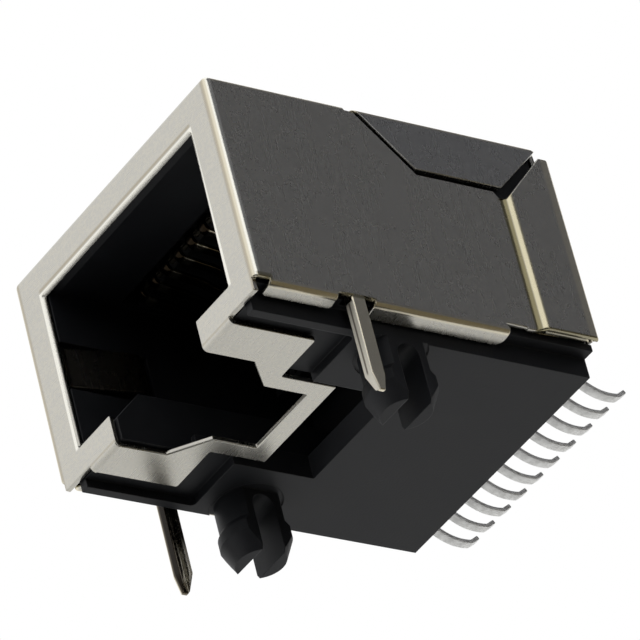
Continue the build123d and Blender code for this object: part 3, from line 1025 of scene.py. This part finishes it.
@dataclass
class ContactRow:
    """The ten bent contacts: spring, leg and solder tail."""

    count: int = 10
    spring_pitch: float = 1.016
    tail_pitch: float = 1.27
    width: float = 0.45
    thickness: float = 0.2
    edge_round: float = 0.04
    edge_facets: int = 2
    sharp_angle: float = 60.0
    tip: tuple[float, float] = (3.85, 6.977)
    bend: tuple[float, float] = (-2.1, 9.381)
    nose: tuple[float, float] = (-3.8, 9.62)
    level: float = 10.18
    leg: float = 8.35
    exit: tuple[float, float] = (9.6, 0.66)
    bend_radius: float = 1.5
    nose_radius: float = 0.26
    leg_radius: float = 0.3
    leg_straight: float = 0.6
    knee_radius: float = 0.8
    sole_radius: float = 2.35
    toe_radius: float = 0.25
    toe_length: float = 0.49
    dive: float = 30.0
    sole_end: float = 10.0
    toe: float = 35.0
    bend_facets: int = 4
    nose_facets: int = 7
    leg_facets: int = 6
    knee_facets: int = 5
    sole_facets: int = 9
    toe_facets: int = 4
    leg_slack: float = 0.1
    finish: ContactPlating = ContactPlating()

    def build(self) -> list[bpy.types.Object]:
        """Models one contact, and copies it to its ten places.

        Returns:
            The ten contacts.
        """
        pattern = self.pattern()
        pieces = [self.placed(pattern, index) for index in range(self.count)]
        bpy.data.objects.remove(pattern)
        return pieces

    def route(self) -> Iterable[tuple[float, float, float, int]]:
        """Follows the contact's line from the spring's tip to the tail's toe.

        Returns:
            For each stretch: its straight length, the bend after it in degrees, its radius and its facets.
        """
        first_heading = rising_angle(self.tip, self.bend)
        second_heading = rising_angle(self.bend, self.nose)
        ease = second_heading - first_heading
        nose_turn = 90.0 - second_heading
        bend_cut = corner_cut(ease, self.bend_radius)
        nose_cut = corner_cut(nose_turn, self.nose_radius)
        yield math.dist(self.tip, self.bend) - bend_cut, ease, self.bend_radius, self.bend_facets
        rise = math.dist(self.bend, self.nose) - bend_cut - nose_cut
        yield rise, nose_turn, self.nose_radius, self.nose_facets
        front = self.level - self.nose[1] - nose_cut - self.nose_radius
        yield front, -90.0, self.nose_radius, self.nose_facets
        back = self.leg - self.nose[0] - self.nose_radius - self.leg_radius
        yield back, -90.0, self.leg_radius, self.leg_facets
        leg_length = self.level - self.leg_radius - self.exit[1] - self.leg_radius
        yield self.leg_straight, 0.0, 0.0, 0
        yield leg_length - 2 * self.leg_straight, 0.0, 0.0, 0
        yield self.leg_straight, 90.0, self.leg_radius, self.leg_facets
        yield self.exit[0] - self.leg - self.leg_radius, -self.dive, self.knee_radius, self.knee_facets
        slope = math.radians(self.dive)
        drop = self.exit[1] - (self.knee_radius + self.sole_radius) * (1 - math.cos(slope))
        yield drop / math.sin(slope), self.dive + self.sole_end, self.sole_radius, self.sole_facets
        yield 0.0, self.toe - self.sole_end, self.toe_radius, self.toe_facets
        yield self.toe_length, 0.0, 0.0, 0

    def pattern(self) -> bpy.types.Object:
        """Models one contact at X = 0, with its leg straight down.

        Returns:
            The contact that the others are copied from.
        """
        heading = math.radians(rising_angle(self.tip, self.bend))
        across = heading + math.pi / 2
        middle_y = self.tip[0] + self.thickness / 2 * math.cos(across)
        middle_z = self.tip[1] + self.thickness / 2 * math.sin(across)
        strip = primitive(bpy.ops.mesh.primitive_plane_add, "contact_pattern", size=1.0)
        strip.scale = (self.width * MM, self.thickness * MM, 1.0)
        strip.rotation_euler = (across, 0.0, 0.0)
        strip.location = (0.0, middle_y * MM, middle_z * MM)
        settle(strip)
        walker = StripWalker(self.tip[0], self.tip[1], heading)
        with Edit(strip):
            bpy.ops.mesh.select_all(action="SELECT")
            for length, degrees, radius, facets in self.route():
                if length:
                    walker.run(length)
                if facets:
                    walker.turn(degrees, radius, facets)
            bpy.ops.mesh.select_all(action="SELECT")
            bpy.ops.mesh.remove_doubles(threshold=STRIP_WELD)
            bpy.ops.mesh.normals_make_consistent(inside=False)
        round_edges(strip, self.edge_round, self.edge_facets, self.sharp_angle)
        even_shading(strip)
        dress(strip, self.finish)
        return strip

    def placed(self, pattern: bpy.types.Object, index: int) -> bpy.types.Object:
        """Copies the pattern to one place and leads its leg from one pitch to the other.

        Args:
            pattern: The contact that is copied.
            index: The contact's number from the left, from 0.
        Returns:
            The contact, which stands for its node.
        """
        place = index - (self.count - 1) / 2
        spring_x, tail_x = place * self.spring_pitch, place * self.tail_pitch
        contact = pattern.copy()
        contact.data = pattern.data.copy()
        contact.name = contact.data.name = f"contact_strip_{index + 1:02d}"
        bpy.context.scene.collection.objects.link(contact)
        foot = self.exit[1] + self.leg_radius + self.leg_straight + self.leg_slack
        behind = self.leg - self.leg_radius
        with Edit(contact) as edit:
            edit.pick(lambda point: point.z < foot * MM and point.y > behind * MM)
            bpy.ops.transform.translate(value=((tail_x - spring_x) * MM, 0.0, 0.0))
        contact.location.x = spring_x * MM
        settle(contact)
        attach(contact, BODY)
        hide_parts(f"contact_{index + 1:02d}")
        return contact


@dataclass
class Shield:
    """The folded and plated sheet, whose cut edges get the rounding that the press leaves."""

    edge_round: float = 0.06
    edge_facets: int = 3
    opening_round: float = 0.2
    opening_side: float = 6.07
    opening_foot: float = 1.65
    opening_top: float = 9.8
    front: float = -8.1
    fold_line: float = 7.55
    fold_inner: float = 6.9
    fold_level: tuple[float, float] = (0.7, 1.0)
    fold_ends: tuple[float, float] = (-7.6, 5.3)
    fold_tilt: float = 10.0
    frame_side: float = 5.55
    bend_end: tuple[float, float] = (-8.0, 0.2)
    cutter_length: float = 2.4
    cutter_depth: float = 1.2
    cutter_lead: float = 0.3
    cutter_front: float = 0.3
    cutter_rear: float = 0.19
    cut_depth: float = 0.3
    cut_level: float = 0.405
    flush: float = 0.003
    slack: float = 0.01
    outline_slack: float = 0.02
    outline_foot: float = 0.14
    outline_reach: float = 0.2
    opening_facets: int = 5
    lip_inset: float = 0.08
    lip_depth: float = 0.32
    lip_reach: float = 0.16
    corner: float = 0.15
    latch_side: float = 3.43
    latch_spread: float = 0.12
    latch_depth: float = 2.7
    latch_reach: float = 0.1
    sill_rise: float = 0.06
    sill_depth: float = 0.3
    sill_slack: float = 0.05
    relief_side: float = 7.49
    relief_depth: float = 0.82
    relief_levels: tuple[float, float, float] = (1.02, 1.15, 1.25)
    relief_drop: float = 0.1
    flap_inside: float = 7.875
    flap_rear_of: float = 6.7
    flap_slant: tuple[float, float] = (8.2, 11.31)
    tip_rise: float = 0.14
    finish: PlatedSheet = PlatedSheet()

    def build(self, nodes: dict[str, bpy.types.Object]) -> list[bpy.types.Object]:
        """Rounds a copy of the shield's node and dresses it.

        Args:
            nodes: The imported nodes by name.
        Returns:
            The rounded shield, which stands for its node.
        """
        sheet = merged_copy(nodes["shield"], "shield_sheet")
        for side in Side:
            self.trim_foot(sheet, side)
        self.round_opening(sheet)
        round_edges(sheet, self.edge_round, self.edge_facets, SHARP_ANGLE, self.on_bend_end)
        hold_to(sheet, nodes["shield"], self.opening_round / 2)
        self.tilt_folds(sheet)
        self.set_edges(sheet)
        even_shading(sheet)
        dress(sheet, self.finish)
        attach(sheet, BODY)
        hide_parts("shield")
        return [sheet]

    def trim_foot(self, sheet: bpy.types.Object, side: Side) -> None:
        """Cuts the front's foot beside the frame off part of the way round its bend.

        The cutter is a block whose top edges are lowered, so that the cut slants across the bend.

        Args:
            sheet: The copy of the shield.
            side: Which end of the foot is cut.
        """
        y, z = self.bend_end
        half = self.cutter_depth / 2
        middle = side.value * (self.frame_side + self.cutter_length / 2)
        cutter = primitive(bpy.ops.mesh.primitive_cube_add, "foot_cutter", size=1.0)
        cutter.scale = (self.cutter_length * MM, self.cutter_depth * MM, self.cutter_depth * MM)
        cutter.location = (middle * MM, y * MM, z * MM)
        settle(cutter)
        with Edit(cutter) as edit:
            edit.pick(lambda point: point.z > z * MM and point.y < y * MM)
            bpy.ops.transform.translate(value=(0.0, self.cutter_lead * MM, (self.cutter_front - half) * MM))
            edit.pick(lambda point: point.z > z * MM and point.y > y * MM)
            bpy.ops.transform.translate(value=(0.0, 0.0, (self.cutter_rear - half) * MM))
        cutting = sheet.modifiers.new("foot_cut", "BOOLEAN")
        cutting.operation = "DIFFERENCE"
        cutting.solver = "EXACT"
        cutting.object = cutter
        apply_modifier(sheet, cutting)
        bpy.data.objects.remove(cutter)

    def on_bend_end(self, point: Vector) -> bool:
        """Whether a point is on the cut that ends the bend beside the frame."""
        x, y, z = abs(point.x) / MM, point.y / MM, point.z / MM
        return x > self.frame_side - self.slack and y < self.front + self.cut_depth and z < self.cut_level

    def set_edges(self, sheet: bpy.types.Object) -> None:
        """Moves the edges that the press left a little to one side, by a rule for each."""
        for vertex in sheet.data.vertices:
            x, y, z = (part / MM for part in vertex.co)
            sideways = self.latch_shift(x, y, z) + self.lip_shift(x, y, z)
            upwards = self.sill_shift(x, y, z) + self.flap_shift(x, y, z) + self.relief_shift(x, y, z)
            vertex.co.x += sideways * MM
            vertex.co.z += upwards * MM

    def latch_shift(self, x: float, y: float, z: float) -> float:
        """How far the latch opening's left edge moves along X, all in millimetres."""
        inside = z < self.opening_foot + self.latch_reach and y < self.front + self.latch_depth
        return -self.latch_spread if inside and abs(x + self.latch_side) < self.latch_reach else 0.0

    def lip_shift(self, x: float, y: float, z: float) -> float:
        """How far the opening's sides move along X, towards the middle.

        Args:
            x: The point's X in millimetres.
            y: Its Y.
            z: Its Z.
        Returns:
            The shift in millimetres, which fades towards the opening's corners.
        """
        beside = self.opening_side + self.opening_round - abs(x)
        from_ends = min(z - self.opening_foot, self.opening_top - z)
        on_lip = 0.0 < beside < self.opening_round + self.lip_reach and y < self.front + self.lip_depth
        if not on_lip or from_ends <= 0.0:
            return 0.0
        share = min(1.0, beside / self.opening_round) * min(1.0, from_ends / self.corner)
        return -math.copysign(self.lip_inset * share, x)

    def sill_shift(self, x: float, y: float, z: float) -> float:
        """How far the opening's sill moves up.

        Args:
            x: The point's X in millimetres.
            y: Its Y.
            z: Its Z.
        Returns:
            The shift in millimetres, which fades above the sill.
        """
        above = z - self.opening_foot
        along = self.latch_side - self.latch_reach < abs(x) < self.opening_side + self.sill_slack
        if not along or not -self.latch_reach < above < self.corner or y >= self.front + self.sill_depth:
            return 0.0
        return self.sill_rise * min(1.0, 1.0 - above / self.corner)

    def flap_shift(self, x: float, y: float, z: float) -> float:
        """How far the flap's slanted top edge moves up, most at its rear, all in millimetres."""
        low, high = self.flap_slant
        on_slant = abs(x) > self.flap_inside and y > self.flap_rear_of and z > low
        return self.tip_rise * (z - low) / (high - low) if on_slant else 0.0

    def relief_shift(self, x: float, y: float, z: float) -> float:
        """How far the top edge of a corner relief moves up, which is below 0, all in millimetres."""
        low, level, high = self.relief_levels
        at_relief = abs(x) > self.relief_side and y < self.front + self.relief_depth and low < z < high
        return -self.relief_drop * min(1.0, (z - low) / (level - low)) if at_relief else 0.0

    def round_opening(self, sheet: bpy.types.Object) -> None:
        """Rolls the front edge of the opening inwards, as the punch does."""

        def on_outline(point: Vector) -> bool:
            """Whether a point is on the opening's front outline."""
            x, y, z = abs(point.x) / MM, point.y / MM, point.z / MM
            low = self.opening_foot + self.outline_foot
            high = self.opening_top + self.outline_slack
            inside = x < self.opening_side + self.outline_slack and low < z < high
            near = x > self.opening_side - self.outline_reach or z > self.opening_top - self.outline_reach
            return abs(y - self.front) < self.flush and inside and near

        with Edit(sheet) as edit:
            edit.pick_edges(on_outline)
            width, facets = self.opening_round * MM, self.opening_facets
            bpy.ops.mesh.bevel(offset=width, segments=facets, affect="EDGES", clamp_overlap=False)

    def tilt_folds(self, sheet: bpy.types.Object) -> None:
        """Lets the edges that are folded under the side walls spring back a little."""
        drop = math.tan(math.radians(self.fold_tilt))
        for vertex in sheet.data.vertices:
            x, y, z = abs(vertex.co.x) / MM, vertex.co.y / MM, vertex.co.z / MM
            along = self.fold_ends[0] < y < self.fold_ends[1]
            level = self.fold_level[0] < z < self.fold_level[1]
            if along and level and self.fold_inner < x < self.fold_line:
                vertex.co.z -= (self.fold_line - x) * drop * MM


@dataclass
class Mouldings:
    """The housing and the contact carrier."""

    housing: MouldedPlastic = MouldedPlastic()
    carrier: MouldedPlastic = MouldedPlastic("carrier_moulded_finish", (0.009, 0.009, 0.0095), skin=0.004)

    def build(self, nodes: dict[str, bpy.types.Object]) -> list[bpy.types.Object]:
        """Dresses both mouldings.

        Args:
            nodes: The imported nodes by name.
        Returns:
            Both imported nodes, which keep their own meshes.
        """
        dress(nodes["housing"], self.housing)
        dress(nodes["contact_carrier"], self.carrier)
        return [nodes["housing"], nodes["contact_carrier"]]


# Studio


@dataclass(frozen=True)
class Card:
    """A square studio card that faces the object from one side and isn't seen by the camera."""

    name: str
    towards: Vector
    distance: float
    size: float
    tone: Colour

    def build(self) -> None:
        """Sets the card up, in metres."""
        place = self.towards.normalized() * self.distance
        card = primitive(bpy.ops.mesh.primitive_plane_add, self.name, size=1.0)
        card.scale = (self.size, self.size, 1.0)
        card.rotation_euler = place.to_track_quat("Z", "Y").to_euler()
        card.location = place
        settle(card)
        dress(card, StudioTone(f"{self.name}_tone", self.tone))
        card.visible_camera = False


@dataclass
class Studio:
    """The floor, the cards and the world round the object, in metres."""

    floor_height: float = -0.42
    floor_size: float = 6.0
    floor_tone: Colour = (0.86, 0.86, 0.85)
    world_light: float = 1.0
    cards: tuple[Card, ...] = (
        Card("rear_right_card", Vector((0.63, 0.557, 0.541)), 0.3, 0.55, (0.2, 0.203, 0.222)),
        Card("low_right_card", Vector((0.66, 0.5, -0.56)), 0.3, 0.36, (0.2, 0.175, 0.12)),
        Card("camera_card", Vector((0.5, -0.72, -0.4)), 0.42, 0.6, (0.03, 0.03, 0.03)),
        Card("under_card", Vector((0.28, 0.05, -0.96)), 0.3, 0.22, (0.02, 0.02, 0.02)),
    )

    def build(self) -> None:
        """Makes the floor, the dark cards that the shield mirrors, and the world."""
        floor = primitive(bpy.ops.mesh.primitive_plane_add, "floor", size=self.floor_size)
        floor.location = (0.0, 0.0, self.floor_height)
        settle(floor)
        dress(floor, StudioTone("pale_floor", self.floor_tone))
        for card in self.cards:
            card.build()
        self.world()

    def world(self) -> None:
        """Lights the object evenly from a white surround."""
        world = bpy.data.worlds.new("white_surround")
        world.use_nodes = True
        graph = FinishGraph(world.node_tree)
        inputs = {"Color": (1.0, 1.0, 1.0), "Strength": self.world_light}
        light = graph.node("ShaderNodeBackground", inputs=inputs)
        graph.node("ShaderNodeOutputWorld", inputs={"Surface": light})
        bpy.context.scene.world = world


@dataclass(frozen=True)
class PhotographCamera:
    """The camera, placed by the photograph's fitted perspective: millimetres and degrees."""

    place: tuple[float, float, float] = (186.165, -164.534, -159.680)
    turned: tuple[float, float, float] = (124.5145, 12.3019, 56.5637)
    focal_length: float = 389.7
    sensor: float = 36.0

    def build(self) -> None:
        """Makes the camera and sets it as the scene's."""
        data = bpy.data.cameras.new("photograph_camera")
        data.lens = self.focal_length
        data.sensor_width = self.sensor
        data.sensor_fit = "HORIZONTAL"
        camera = bpy.data.objects.new("photograph_camera", data)
        camera.location = Vector(self.place) * MM
        camera.rotation_euler = Euler([math.radians(angle) for angle in self.turned], "XYZ")
        bpy.context.scene.collection.objects.link(camera)
        bpy.context.scene.camera = camera


def clear_startup_objects() -> None:
    """Takes out what a new file starts with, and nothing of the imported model."""
    kept = set(frame["nodes"].values()) | set(frame["bodies"].values())
    for item in [item for item in bpy.data.objects if item not in kept]:
        bpy.data.objects.remove(item)


def main() -> None:
    """Builds the object's looks and its studio."""
    logging.basicConfig(level=logging.INFO, format="%(name)s: %(message)s")
    clear_startup_objects()
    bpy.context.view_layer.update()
    PhotographCamera().build()
    Studio().build()
    pieces = []
    for part in (Shield(), Mouldings()):
        pieces += part.build(frame["nodes"])
    pieces += ContactRow().build()
    for piece in pieces:
        log.info("%s: %d faces", piece.name, len(piece.data.polygons))
    bpy.context.scene.view_settings.view_transform = "Standard"


if __name__ == "__main__":
    main()
